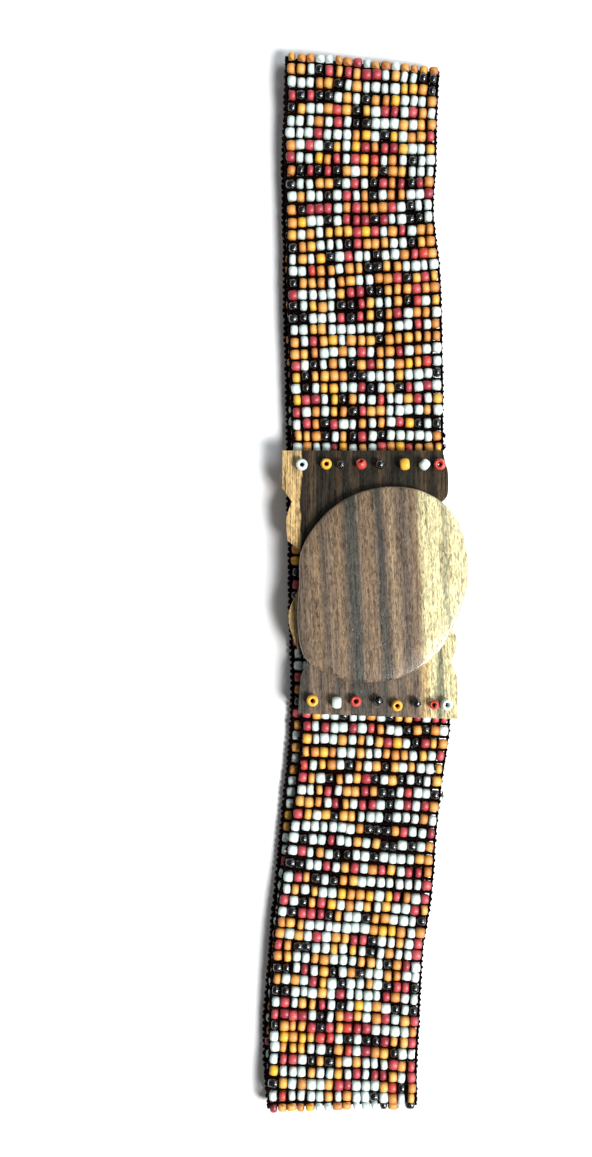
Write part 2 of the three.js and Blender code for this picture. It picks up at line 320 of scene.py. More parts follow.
def points_mesh(name, points, directions, sizes):
    """A mesh of loose points that carry directions and a size as attributes."""
    mesh = bpy.data.meshes.new(name)
    mesh.from_pydata([tuple(p) for p in points], [], [])
    for label, vectors in directions.items():
        attribute = mesh.attributes.new(label, "FLOAT_VECTOR", "POINT")
        attribute.data.foreach_set("vector", np.array([tuple(v) for v in vectors]).ravel())
    mesh.attributes.new("size", "FLOAT", "POINT").data.foreach_set("value", sizes)
    return mesh


def column_share(section, column):
    """Share of the width at a column, counted between the two edge cords."""
    margin = section["cord"] / (section["right"] - section["left"])
    return margin + (1 - 2 * margin) * column / COLUMNS


loom_points, loom_rows, loom_outs = [], [], []
for section in rows:
    for column in range(COLUMNS):
        loom_points.append(point_on(section, column_share(section, column + 0.5)))
        loom_rows.append(section["row"])
        loom_outs.append(section["out"])
loom = points_mesh("loom", loom_points, {"row": loom_rows, "out": loom_outs}, [1.0] * len(loom_points))
print("beads:", len(loom_points))

# %% [markdown]
# ## One seed bead
#
# A seed bead is a short slice of glass tube, tumbled until its rims are round. A closed profile swept
# round the hole gives it, hole and all. The belt needs about 2,500 of them, so one bead has only
# seventy faces, and smooth shading does the rest. It is made one unit long and one unit across,
# because every bead on the loom gets a length and a diameter of its own.

# %% Make the bead and the thread loop
BEAD_PROFILE = [  # place along the hole, and radius
    (-0.38, 0.14),
    (-0.50, 0.30),
    (-0.38, 0.455),
    (0.0, 0.5),
    (0.38, 0.455),
    (0.50, 0.30),
    (0.38, 0.14),
]
BEAD_SIDES = 10
GREATEST_RADIUS = 0.5
FLANK_POWER = 4
LOOP_PROFILE = [(-0.5, 0.36), (-0.25, 0.5), (0.25, 0.5), (0.5, 0.36), (0.0, 0.2)]
LOOP_SIDES = 8


def swept_ring(name, profile, sides):
    """A closed profile swept round the X axis. Attribute "rim" is 0 on top and 1 at the ends and flanks."""
    form = bmesh.new()
    rim = form.verts.layers.float.new("rim")
    rings = []
    for i in range(sides):
        angle = 2 * math.pi * i / sides
        ring = []
        for along, radius in profile:
            vertex = form.verts.new((along, radius * math.cos(angle), radius * math.sin(angle)))
            # The flank part of "rim" grows as the surface turns away from the top. The glass paints shade
            # there, and paints the top lighter where "rim" is low.
            flank = radius / GREATEST_RADIUS * abs(math.cos(angle))
            vertex[rim] = max(abs(along) * 2, flank**FLANK_POWER)
            ring.append(vertex)
        rings.append(ring)
    for i, ring in enumerate(rings):
        after = rings[(i + 1) % sides]
        for j in range(len(profile)):
            k = (j + 1) % len(profile)
            form.faces.new((ring[j], ring[k], after[k], after[j])).smooth = True
    bmesh.ops.recalc_face_normals(form, faces=form.faces)
    mesh = bpy.data.meshes.new(name)
    form.to_mesh(mesh)
    form.free()
    return bpy.data.objects.new(name, mesh)


bead = swept_ring("unit_bead", BEAD_PROFILE, BEAD_SIDES)
loop = swept_ring("unit_loop", LOOP_PROFILE, LOOP_SIDES)
print("faces of one bead:", len(bead.data.polygons))

# %% [markdown]
# ## Glass, thread and wood
#
# The beads are opaque glass in four colours, and no two of one colour are quite alike, so each bead
# carries a random `tone` that picks its shade from a short ramp. One shared group gives all of them
# the same skin: painted shade towards the rims and flanks, a painted lighter top, tiny pits and an
# uneven gloss.


# %% Colour helpers
def linear(code):
    """A colour written in hexadecimal, as the linear values that a shader takes."""
    parts = [int(code[i : i + 2], 16) / 255 for i in (0, 2, 4)]
    return [c / 12.92 if c <= 0.04045 else ((c + 0.055) / 1.055) ** 2.4 for c in parts] + [1.0]


def ramp(tree, place, stops):
    """A Color Ramp with stops given as (place, hexadecimal colour)."""
    node = put(tree, "ShaderNodeValToRGB", {"Fac": place})
    elements = node.color_ramp.elements
    while len(elements) < len(stops):
        elements.new(0.5)
    for element, (position, code) in zip(elements, stops):
        element.position = position
        element.color = linear(code)
    return result(node, "Color")


def mix(tree, share, first, second, blend="MIX"):
    """The output of a Mix node for colours."""
    feeds = {"Factor": share, "A": first, "B": second}
    return result(put(tree, "ShaderNodeMix", feeds, data_type="RGBA", blend_type=blend), "Result")


def noise_at(tree, place, scale, detail, distortion=0.0):
    """The output of a Noise Texture."""
    feeds = {"Vector": place, "Scale": scale, "Detail": detail, "Distortion": distortion}
    return result(put(tree, "ShaderNodeTexNoise", feeds), "Fac")


def ranged(tree, value, low, high, to_low=0.0, to_high=1.0):
    """A value stretched from one range to another, and kept inside it."""
    feeds = {"Value": value, "From Min": low, "From Max": high, "To Min": to_low, "To Max": to_high}
    return result(put(tree, "ShaderNodeMapRange", feeds))


def new_material(name):
    """A material with a Principled shader. Returns it, its tree and the shader."""
    material = bpy.data.materials.new(name)
    material.use_nodes = True
    tree = material.node_tree
    tree.nodes.clear()
    shader = put(tree, "ShaderNodeBsdfPrincipled")
    put(tree, "ShaderNodeOutputMaterial", {"Surface": result(shader)})
    return material, tree, shader


def add_bump(tree, shader, height, distance):
    """Feed a height field to a shader's normal."""
    feeds = {"Height": height, "Distance": distance, "Strength": 1.0}
    tree.links.new(result(put(tree, "ShaderNodeBump", feeds)), shader.inputs["Normal"])


# %% Group: the skin of a glass bead, with painted shade and a painted lighter top
CLOUDS = 900.0
PITS = 3600.0
# Painted light and shade on every bead: the colour turns towards a painted shade colour at the rims and
# flanks, and the top is painted lighter.
PAINTED_SHADE_FROM = 0.55
UNEVEN = (0.94, 1.05)
PAINTED_TOP_LIGHT_AND_RIM_SHADE = (1.2, 0.82)
CLOUD_GLOSS = 0.16

skin_tree, given, outcome = new_group(
    "Bead skin and painted shade",
    "ShaderNodeTree",
    [
        ("Colour", "NodeSocketColor", (1, 1, 1, 1)),
        ("Painted Shade Colour", "NodeSocketColor", (0, 0, 0, 1)),
        ("Rim", "NodeSocketFloat", 0.0),
        ("Depth", "NodeSocketFloat", 0.5),
        ("Roughness", "NodeSocketFloat", 0.25),
    ],
    [("Colour", "NodeSocketColor"), ("Roughness", "NodeSocketFloat"), ("Height", "NodeSocketFloat")],
)
where = result(put(skin_tree, "ShaderNodeTexCoord"), "Object")
cloud = noise_at(skin_tree, where, CLOUDS, 3.0)
pits = noise_at(skin_tree, where, PITS, 1.0)
# Painted shade towards the rims and flanks, then a painted lighter top.
near_rim = ranged(skin_tree, given["Rim"], PAINTED_SHADE_FROM, 1.0)
painted_shade_share = sums(skin_tree, "MULTIPLY", near_rim, given["Depth"])
shaded = mix(skin_tree, painted_shade_share, given["Colour"], given["Painted Shade Colour"])
uneven = ranged(skin_tree, cloud, 0.0, 1.0, *UNEVEN)
painted_top_light = ranged(skin_tree, given["Rim"], 0.0, 1.0, *PAINTED_TOP_LIGHT_AND_RIM_SHADE)
shaded = mix(skin_tree, 1.0, shaded, sums(skin_tree, "MULTIPLY", uneven, painted_top_light), "MULTIPLY")
gloss = sums(skin_tree, "MULTIPLY_ADD", cloud, CLOUD_GLOSS, given["Roughness"])
skin_tree.links.new(shaded, outcome.inputs["Colour"])
skin_tree.links.new(gloss, outcome.inputs["Roughness"])
skin_tree.links.new(sums(skin_tree, "ADD", cloud, pits), outcome.inputs["Height"])


# %% Glass in four colours
def bead_glass(name, shades, painted_shade_colour, painted_shade_share, roughness, coat, relief):
    """Opaque glass whose shade each bead picks with its own tone.

    The next two arguments give the painted shade at the rims and flanks: its colour and its share.
    """
    material, tree, shader = new_material(name)
    tone = result(put(tree, "ShaderNodeAttribute", attribute_name="tone"), "Fac")
    rim = result(put(tree, "ShaderNodeAttribute", attribute_name="rim"), "Fac")
    feeds = {"Colour": ramp(tree, tone, shades), "Painted Shade Colour": linear(painted_shade_colour), "Rim": rim, "Depth": painted_shade_share}
    skin = put(tree, "ShaderNodeGroup", {**feeds, "Roughness": roughness}, node_tree=skin_tree)
    tree.links.new(skin.outputs["Colour"], shader.inputs["Base Color"])
    tree.links.new(skin.outputs["Roughness"], shader.inputs["Roughness"])
    add_bump(tree, shader, skin.outputs["Height"], relief)
    shader.inputs["Coat Weight"].default_value = coat
    shader.inputs["Coat Roughness"].default_value = roughness
    return material


SHADES = {
    "white": [(0.0, "c8dad4"), (0.3, "d8e6e1"), (0.7, "e0ece9"), (1.0, "cde0d8")],
    "amber": [(0.0, "c4803c"), (0.25, "d99446"), (0.6, "e2a555"), (0.85, "e4ac46"), (1.0, "f0b024")],
    "red": [(0.0, "902a35"), (0.35, "b03a42"), (0.75, "c44c51"), (1.0, "c43e2d")],
    "black": [(0.0, "020304"), (1.0, "07080b")],
}
# The first two looks are the painted shade at the rims and flanks: its colour and its share.
GLASS_LOOKS = {
    "white": {"painted_shade_colour": "6a7975", "painted_shade_share": 0.5, "roughness": 0.34, "coat": 0.06, "relief": 0.02 * MM},
    "amber": {"painted_shade_colour": "8a4410", "painted_shade_share": 0.9, "roughness": 0.4, "coat": 0.12, "relief": 0.03 * MM},
    "red": {"painted_shade_colour": "520c15", "painted_shade_share": 0.9, "roughness": 0.34, "coat": 0.22, "relief": 0.03 * MM},
    "black": {"painted_shade_colour": "000000", "painted_shade_share": 0.2, "roughness": 0.06, "coat": 1.0, "relief": 0.09 * MM},
}
glass = {}
for colour, looks in GLASS_LOOKS.items():
    glass[colour] = bead_glass(f"{colour} glass", SHADES[colour], **looks)


# %% Black thread
FIBRES = 2600.0
FIBRE_RELIEF = 0.12 * MM
# The thread itself is black. The warm red-brown in these tones is painted light passed through the glass
# beads.
BLACK_THREAD_AND_PAINTED_BOUNCE = [(0.35, "060101"), (0.65, "100302"), (0.85, "1c0906")]
THREAD_ROUGHNESS = (0.45, 0.8)
THREAD_SHINE = 0.03


def waxed_thread(name):
    """Black waxed thread: nearly black, with a painted warm cast of light passed through the red and amber
    beads, little shine and fine fibres.
    """
    material, tree, shader = new_material(name)
    fibres = noise_at(tree, result(put(tree, "ShaderNodeTexCoord"), "Object"), FIBRES, 2.0)
    tree.links.new(ramp(tree, fibres, BLACK_THREAD_AND_PAINTED_BOUNCE), shader.inputs["Base Color"])
    tree.links.new(ranged(tree, fibres, 0.0, 1.0, *THREAD_ROUGHNESS), shader.inputs["Roughness"])
    shader.inputs["Specular IOR Level"].default_value = THREAD_SHINE
    add_bump(tree, shader, fibres, FIBRE_RELIEF)
    return material


thread = waxed_thread("black thread")

# %% [markdown]
# ## Threading the beads
#
# One tree hangs things on the loom. It picks its share of the points with a seeded random number, and
# the four colours use the same seed with shares that follow on from each other, so that every point
# gets one bead of one colour. Each bead then gets a length, a diameter, a small lean and a small step
# aside of its own. A second, slower drift moves neighbours together, beads and threads alike, as in
# real hand weaving, where no row is perfectly straight.


# %% Tree: slow drift
DRIFT = (1.0 * MM, 2.0 * MM, 0.2 * MM)
DRIFT_SCALE = 45.0


def vector_math(tree, operation, first, second):
    """The output of a Vector Math node."""
    return result(put(tree, "ShaderNodeVectorMath", {0: first, 1: second}, operation=operation))


drift_tree, given, outcome = new_group(
    "Slow drift",
    "GeometryNodeTree",
    [
        ("Geometry", "NodeSocketGeometry", None),
        ("Amount", "NodeSocketVector", DRIFT),
        ("Scale", "NodeSocketFloat", DRIFT_SCALE),
    ],
    [("Geometry", "NodeSocketGeometry")],
)
here = result(put(drift_tree, "GeometryNodeInputPosition"))
noise = put(drift_tree, "ShaderNodeTexNoise", {"Vector": here, "Scale": given["Scale"], "Detail": 1.0})
either_way = vector_math(drift_tree, "SUBTRACT", result(noise, "Color"), (0.5, 0.5, 0.5))
offset = vector_math(drift_tree, "MULTIPLY", either_way, given["Amount"])
moved = put(drift_tree, "GeometryNodeSetPosition", {"Geometry": given["Geometry"], "Offset": offset})
drift_tree.links.new(result(moved), outcome.inputs["Geometry"])

# %% Tree: hang a thing on every loom point
hang_tree, given, outcome = new_group(
    "Hang on the loom",
    "GeometryNodeTree",
    [
        ("Geometry", "NodeSocketGeometry", None),
        ("Thing", "NodeSocketObject", None),
        ("Material", "NodeSocketMaterial", None),
        ("Seed", "NodeSocketInt", 1),
        ("Share From", "NodeSocketFloat", 0.0),
        ("Share To", "NodeSocketFloat", 1.0),
        ("Length", "NodeSocketFloat", 0.003),
        ("Length Spread", "NodeSocketFloat", 0.1),
        ("Diameter", "NodeSocketFloat", 0.004),
        ("Diameter Spread", "NodeSocketFloat", 0.05),
        ("Lean", "NodeSocketFloat", 0.1),
        ("Wander", "NodeSocketVector", (0.0001, 0.0001, 0.0001)),
    ],
    [("Geometry", "NodeSocketGeometry")],
)


def chance(tree, low, high, seed, kind="FLOAT"):
    """A seeded random number or vector for each point."""
    feeds = {"Min": low, "Max": high, "Seed": seed}
    return result(put(tree, "FunctionNodeRandomValue", feeds, data_type=kind))


def finish_tree(tree, node):
    """Make real meshes of a node's geometry, give them the material and pass them out of the tree."""
    solid = put(tree, "GeometryNodeRealizeInstances", {"Geometry": result(node)})
    feeds = {"Geometry": result(solid), "Material": given["Material"]}
    finished = put(tree, "GeometryNodeSetMaterial", feeds)
    tree.links.new(result(finished), outcome.inputs["Geometry"])


def next_seed(step):
    """A seed of its own for each random choice, all of them moved by the one input."""
    return sums(hang_tree, "ADD", given["Seed"], float(step))


def spread_about(size, spread, seed):
    """A size that varies by a share of itself either way, and with the points' own size."""
    least = sums(hang_tree, "SUBTRACT", 1.0, spread)
    most = sums(hang_tree, "ADD", 1.0, spread)
    factor = chance(hang_tree, least, most, seed)
    return sums(hang_tree, "MULTIPLY", sums(hang_tree, "MULTIPLY", size, factor), result(own_size))


own_size = put(hang_tree, "GeometryNodeInputNamedAttribute", {"Name": "size"}, data_type="FLOAT")
draw = chance(hang_tree, 0.0, 1.0, next_seed(0))
above = put(hang_tree, "FunctionNodeCompare", {0: draw, 1: given["Share From"]}, operation="GREATER_EQUAL")
below = put(hang_tree, "FunctionNodeCompare", {0: draw, 1: given["Share To"]}, operation="LESS_THAN")
chosen = put(hang_tree, "FunctionNodeBooleanMath", {0: result(above), 1: result(below)}, operation="AND")

back = vector_math(hang_tree, "MULTIPLY", given["Wander"], (-1, -1, -1))
aside = chance(hang_tree, back, given["Wander"], next_seed(1), "FLOAT_VECTOR")
drifted = put(hang_tree, "GeometryNodeGroup", {"Geometry": given["Geometry"]}, node_tree=drift_tree)
placed = put(hang_tree, "GeometryNodeSetPosition", {"Geometry": result(drifted), "Offset": aside})

row_way = put(hang_tree, "GeometryNodeInputNamedAttribute", {"Name": "row"}, data_type="FLOAT_VECTOR")
out_way = put(hang_tree, "GeometryNodeInputNamedAttribute", {"Name": "out"}, data_type="FLOAT_VECTOR")
facing = put(
    hang_tree,
    "FunctionNodeAxesToRotation",
    {"Primary Axis": result(out_way), "Secondary Axis": result(row_way)},
    primary_axis="Z",
    secondary_axis="X",
)
other_way = sums(hang_tree, "MULTIPLY", given["Lean"], -1.0)
lean = chance(hang_tree, other_way, given["Lean"], next_seed(2), "FLOAT_VECTOR")
lean_turn = result(put(hang_tree, "FunctionNodeEulerToRotation", {"Euler": lean}))
turned = put(
    hang_tree,
    "FunctionNodeRotateRotation",
    {"Rotation": result(facing), "Rotate By": lean_turn},
    rotation_space="LOCAL",
)
across = spread_about(given["Diameter"], given["Diameter Spread"], next_seed(4))
sizes = put(
    hang_tree,
    "ShaderNodeCombineXYZ",
    {"X": spread_about(given["Length"], given["Length Spread"], next_seed(3)), "Y": across, "Z": across},
)
thing = put(hang_tree, "GeometryNodeObjectInfo", {"Object": given["Thing"], "As Instance": True})
hung = put(
    hang_tree,
    "GeometryNodeInstanceOnPoints",
    {
        "Points": result(placed),
        "Selection": result(chosen),
        "Instance": result(thing, "Geometry"),
        "Rotation": result(turned),
        "Scale": result(sizes),
    },
)
toned = put(
    hang_tree,
    "GeometryNodeStoreNamedAttribute",
    {"Geometry": result(hung), "Name": "tone", "Value": chance(hang_tree, 0.0, 1.0, next_seed(5))},
    data_type="FLOAT",
    domain="INSTANCE",
)
finish_tree(hang_tree, toned)


# %% Grow a piece from a tree
def grow(name, mesh, tree, values):
    """Run a tree over a mesh and keep the outcome as a plain mesh object."""
    source = bpy.data.objects.new(name + "_source", mesh)
    bpy.context.scene.collection.objects.link(source)
    modifier = source.modifiers.new("tree", "NODES")
    modifier.node_group = tree
    names = {item.name: item.identifier for item in tree.interface.items_tree if item.in_out == "INPUT"}
    for label, value in values.items():
        modifier[names[label]] = value
    bpy.context.view_layer.update()
    evaluated = source.evaluated_get(bpy.context.evaluated_depsgraph_get())
    grown = bpy.data.meshes.new_from_object(evaluated)
    grown.name = name
    piece = bpy.data.objects.new(name, grown)
    bpy.context.scene.collection.objects.link(piece)
    bpy.data.objects.remove(source)
    print(name, "has", sum(len(p.vertices) - 2 for p in grown.polygons), "triangles")
    return piece


# %% Thread the beads, colour by colour
BEAD_LENGTH = 3.16 * MM
BEAD_DIAMETER = 4.04 * MM
BEAD_SHARES = {"white": 0.37, "amber": 0.32, "red": 0.18, "black": 0.13}
WEAVE_SEED = 7

bead_pieces = {}
share_from = 0.0
for colour, share in BEAD_SHARES.items():
    values = {
        "Thing": bead,
        "Material": glass[colour],
        "Seed": WEAVE_SEED,
        "Share From": share_from,
        "Share To": share_from + share,
        "Length": BEAD_LENGTH,
        "Length Spread": 0.23,
        "Diameter": BEAD_DIAMETER,
        "Diameter Spread": 0.055,
        "Lean": math.radians(7),
        "Wander": (0.27 * MM, 0.25 * MM, 0.08 * MM),
    }
    bead_pieces[colour] = grow(f"{colour}_seed_beads", loom, hang_tree, values)
    share_from += share

# %% [markdown]
# ## Elastic, weft and knotted edges
#
# Between the columns of beads run the black elastic warps, and between the rows a weft thread winds
# over and under them. They are what is dark between the beads. Lines of points along the strip are
# turned into round threads by a second tree. Along each edge the thread is knotted round a cord, one
# loop beside every row and one beside every gap, which is the first tree again with a ring for a bead.
# The edge is thin where the belt is stretched over the front, and thick and braided on the back.

# %% Tree: round thread along lines
thread_tree, given, outcome = new_group(
    "Thread along lines",
    "GeometryNodeTree",
    [
        ("Geometry", "NodeSocketGeometry", None),
        ("Material", "NodeSocketMaterial", None),
        ("Diameter", "NodeSocketFloat", 0.001),
        ("Sides", "NodeSocketInt", 6),
    ],
    [("Geometry", "NodeSocketGeometry")],
)
drifted = put(thread_tree, "GeometryNodeGroup", {"Geometry": given["Geometry"]}, node_tree=drift_tree)
curve = put(thread_tree, "GeometryNodeMeshToCurve", {"Mesh": result(drifted)})
radius = sums(thread_tree, "MULTIPLY", given["Diameter"], 0.5)
section_feeds = {"Resolution": given["Sides"], "Radius": radius}
circle = put(thread_tree, "GeometryNodeCurvePrimitiveCircle", section_feeds)
tube = put(
    thread_tree,
    "GeometryNodeCurveToMesh",
    {"Curve": result(curve), "Profile Curve": result(circle), "Fill Caps": True},
)
smooth = put(thread_tree, "GeometryNodeSetShadeSmooth", {"Geometry": result(tube), "Shade Smooth": True})
finish_tree(thread_tree, smooth)


def lines_mesh(name, lines):
    """A mesh of open lines, one for each list of points."""
    points, joins = [], []
    for one in lines:
        start = len(points)
        points += [tuple(p) for p in one]
        joins += [(i, i + 1) for i in range(start, len(points) - 1)]
    mesh = bpy.data.meshes.new(name)
    mesh.from_pydata(points, joins, [])
    return mesh


def threads(name, lines, diameter):
    """A piece of round black threads along lines."""
    source = lines_mesh(name + " lines", lines)
    return grow(name, source, thread_tree, {"Material": thread, "Diameter": diameter})


# %% Lay the warps, the wefts and the edge cords
WARP = 0.95 * MM
WEFT = 1.1 * MM
WEAVE_DEPTH = 0.25 * MM
SUNK = -0.35 * MM

ends = [section_at(0.0), section_at(way[-1])]
stations = [ends[0]]
for row, gap in zip(rows, gaps):
    stations += [row, gap]
stations += [rows[-1], ends[1]]


def weave(i, column):
    """Warps pass over and under the wefts in turn, and lie level beside the beads."""
    if i % 2:
        return 0.0
    return WEAVE_DEPTH * (-1) ** (column + i // 2)


def threads_at(section, column, lift):
    """Where a thread passes a column: a little deeper than the middle of the beads."""
    return point_on(section, column_share(section, column), SUNK + lift)


warps = []
for column in range(COLUMNS + 1):
    warps.append([threads_at(s, column, weave(i, column)) for i, s in enumerate(stations)])
wefts = []
for number, section in enumerate(gaps, start=1):
    wefts.append([threads_at(section, column, -weave(2 * number, column)) for column in range(COLUMNS + 1)])
warp_piece = threads("elastic_warps", warps, WARP)
weft_piece = threads("weft_threads", wefts, WEFT)

# %% Knot the edges
CORE = 0.6 * MM
KNOT_LENGTH = 1.7 * MM
KNOT_DIAMETER = 2.0 * MM
KNOT_SLANT = 0.45
LEAST_KNOT = 0.3

cord_points, cord_ways, cord_outs, cord_sizes, cord_lines = [], [], [], [], [[], []]
for i, section in enumerate(stations):
    along = section["out"].cross(section["row"])
    for side in (0, 1):
        inset = 0.5 * section["cord"] / (section["right"] - section["left"])
        point = point_on(section, 1 - inset if side else inset)
        cord_lines[side].append(point)
        cord_points.append(point)
        cord_ways.append(along + (KNOT_SLANT if (i + side) % 2 else -KNOT_SLANT) * section["row"])
        cord_outs.append(section["out"])
        cord_sizes.append(LEAST_KNOT + (1 - LEAST_KNOT) * section["cord"] / BACK_CORD)
knots = points_mesh("knots", cord_points, {"row": cord_ways, "out": cord_outs}, cord_sizes)
knot_values = {
    "Thing": loop,
    "Material": thread,
    "Seed": 3,
    "Length": KNOT_LENGTH,
    "Length Spread": 0.2,
    "Diameter": KNOT_DIAMETER,
    "Diameter Spread": 0.12,
    "Lean": math.radians(16),
    "Wander": (0.12 * MM, 0.12 * MM, 0.12 * MM),
}
knot_piece = grow("edge_knots", knots, hang_tree, knot_values)
cord_piece = threads("edge_cords", cord_lines, CORE)

# %% [markdown]
# ## Loose ends
#
# Where the weaver has tied off a thread, a small tangle of it sticks to the edge. Each tangle is a few
# short threads that wander at random from a knot.

# %% Tangle the loose ends
TIED_AT = [(2, 0.0), (4, 0.0), (6, 1.0), (-1, 1.0), (-2, 1.0)]  # row, and share of the width
LOOSE_THREAD = 0.4 * MM
KNOT_HEIGHT = 0.5 * MM
STRANDS = 5
STRAND_STEPS = 7
TANGLE_STEP = 0.55 * MM
PULL_BACK = 0.5

luck = np.random.default_rng(5)
tangles = []
for number, share in TIED_AT:
    knot = point_on(rows[number], share, KNOT_HEIGHT)
    for _ in range(STRANDS):
        strand = [knot]
        for _ in range(STRAND_STEPS):
            pull = PULL_BACK * (knot - strand[-1])
            strand.append(strand[-1] + pull + Vector(luck.normal(0, TANGLE_STEP, 3)))
        tangles.append(strand)
tangle_piece = threads("loose_ends", tangles, LOOSE_THREAD)

# %% [markdown]
# ## The wood of the buckle
#
# The lower plate and the disc are cut from one striped board: warm grey-brown heartwood with dark
# lines, then pale sapwood with a grey-green line in it. The upper plate is a darker board with a strip
# of tan sapwood along its left edge. The stripes run along the belt, so a ramp across the board gives
# them, and a slow noise bends them a little. A shared group adds what all wood shows up close: fine
# streaks, wavy flecks and open pores.

# %% Group: wood grain
NOISE_SPREAD = (0.36, 0.64)
PORE_EDGE = (0.6, 0.68)
PORE_COLOUR = "2a1d12"
STREAK_GLOSS = 0.14

grain_tree, given, outcome = new_group(
    "Wood grain",
    "ShaderNodeTree",
    [
        ("Colour", "NodeSocketColor", (1, 1, 1, 1)),
        ("Place", "NodeSocketVector", None),
        ("Streaks", "NodeSocketFloat", 0.5),
        ("Flecks", "NodeSocketFloat", 0.5),
        ("Pores", "NodeSocketFloat", 0.5),
        ("Roughness", "NodeSocketFloat", 0.3),
    ],
    [("Colour", "NodeSocketColor"), ("Roughness", "NodeSocketFloat"), ("Height", "NodeSocketFloat")],
)


def long_noise(tree, place, across, along, detail, distortion=0.0):
    """Noise stretched along the grain. across and along are in waves for each millimetre."""
    stretched = put(tree, "ShaderNodeMapping", {"Vector": place, "Scale": (across, along, across)})
    return noise_at(tree, result(stretched), 1.0, detail, distortion)


streaks = long_noise(grain_tree, given["Place"], 1.6, 0.05, 4.0, 0.3)
flecks = long_noise(grain_tree, given["Place"], 1.5, 0.4, 3.0, 0.9)
pores = ranged(grain_tree, long_noise(grain_tree, given["Place"], 3.0, 0.5, 1.0), *PORE_EDGE)
light_streak = sums(grain_tree, "SUBTRACT", ranged(grain_tree, streaks, *NOISE_SPREAD), 0.5)
light_fleck = sums(grain_tree, "SUBTRACT", ranged(grain_tree, flecks, *NOISE_SPREAD), 0.5)
light = sums(grain_tree, "MULTIPLY_ADD", light_streak, given["Streaks"], 1.0)
light = sums(grain_tree, "MULTIPLY_ADD", light_fleck, given["Flecks"], light)
grained = mix(grain_tree, 1.0, given["Colour"], light, "MULTIPLY")
pore_share = sums(grain_tree, "MULTIPLY", pores, given["Pores"])
grained = mix(grain_tree, pore_share, grained, linear(PORE_COLOUR))
grain_tree.links.new(grained, outcome.inputs["Colour"])
gloss = sums(grain_tree, "MULTIPLY_ADD", streaks, STREAK_GLOSS, given["Roughness"])
grain_tree.links.new(gloss, outcome.inputs["Roughness"])
relief = sums(grain_tree, "MULTIPLY_ADD", pores, -1.0, streaks)
grain_tree.links.new(relief, outcome.inputs["Height"])


# %% Boards
SWAY = 3.5  # the whole range of a stripe's slow bends, in mm
SHIVER = 1.5  # and that of the short waves on its edges
GRAIN_RELIEF = 0.05 * MM
LACQUER_ROUGHNESS = 0.12


def board(name, turn, stripes, looks, shine, coat):
    """A board whose stripes run along Y, turned by some degrees. stripes are (X in mm, tone).

    shine is the wood's own gloss and coat the share of clear lacquer over it.
    """
    material, tree, shader = new_material(name)
    where = result(put(tree, "ShaderNodeTexCoord"), "Object")
    feeds = {"Vector": where, "Rotation": (0, 0, math.radians(turn)), "Scale": (1 / MM, 1 / MM, 1 / MM)}
    spot = result(put(tree, "ShaderNodeMapping", feeds))
    x = result(put(tree, "ShaderNodeSeparateXYZ", {"Vector": spot}), "X")
    sway = sums(tree, "SUBTRACT", long_noise(tree, spot, 0.1, 0.035, 2.0), 0.5)
    x = sums(tree, "MULTIPLY_ADD", sway, SWAY, x)
    shiver = sums(tree, "SUBTRACT", long_noise(tree, spot, 0.9, 0.22, 3.0), 0.5)
    x = sums(tree, "MULTIPLY_ADD", shiver, SHIVER, x)
    first, last = stripes[0][0], stripes[-1][0]
    stops = [((at - first) / (last - first), TONES[tone]) for at, tone in stripes]
    striped = ramp(tree, ranged(tree, x, first, last), stops)
    grain = put(tree, "ShaderNodeGroup", {"Colour": striped, "Place": spot, **looks}, node_tree=grain_tree)
    tree.links.new(grain.outputs["Colour"], shader.inputs["Base Color"])
    tree.links.new(grain.outputs["Roughness"], shader.inputs["Roughness"])
    add_bump(tree, shader, grain.outputs["Height"], GRAIN_RELIEF)
    shader.inputs["Specular IOR Level"].default_value = shine
    shader.inputs["Coat Weight"].default_value = coat
    shader.inputs["Coat Roughness"].default_value = LACQUER_ROUGHNESS
    return material


TONES = {
    "brown": "715f4d",
    "warm": "7c664d",
    "tan": "8f7a5e",
    "dim": "594d42",
    "line": "43423b",
    "dusk": "453f39",
    "sapwood": "cabd8f",
    "pale": "d4c898",
    "green": "8b896b",
    "honey": "bd9e6b",
    "shadow line": "19120c",
    "ebony": "1d1c15",
    "umber": "2e281f",
    "russet": "433526",
}
DISC_STRIPES = [
    (-26.0, "dim"),
    (-22.0, "brown"),
    (-17.5, "warm"),
    (-15.5, "dim"),
    (-13.5, "brown"),
    (-9.0, "warm"),
    (-6.8, "dim"),
    (-5.2, "line"),
    (-3.0, "line"),
    (-1.6, "brown"),
    (1.0, "warm"),
    (4.0, "brown"),
    (5.4, "line"),
    (6.8, "dusk"),
    (8.4, "brown"),
    (10.0, "tan"),
    (12.5, "brown"),
    (14.5, "dim"),
    (17.0, "brown"),
    (19.5, "warm"),
    (21.5, "sapwood"),
    (25.5, "pale"),
    (28.5, "sapwood"),
    (29.8, "green"),
    (31.5, "sapwood"),
    (33.5, "pale"),
    (38.0, "sapwood"),
]
LOWER_STRIPES = [
    (-26.0, "line"),
    (-22.5, "dusk"),
    (-20.5, "brown"),
    (-17.0, "dim"),
    (-14.0, "brown"),
    (-11.0, "dusk"),
    (-8.0, "brown"),
    (-5.0, "dusk"),
    (-3.0, "line"),
    (-1.0, "dusk"),
    (3.0, "dim"),
    (5.0, "dim"),
    (7.0, "line"),
    (9.0, "brown"),
    (13.0, "dim"),
    (16.0, "brown"),
    (19.0, "dim"),
    (21.5, "honey"),
    (24.5, "pale"),
    (26.5, "green"),
    (28.0, "green"),
    (29.5, "sapwood"),
    (35.0, "sapwood"),
]
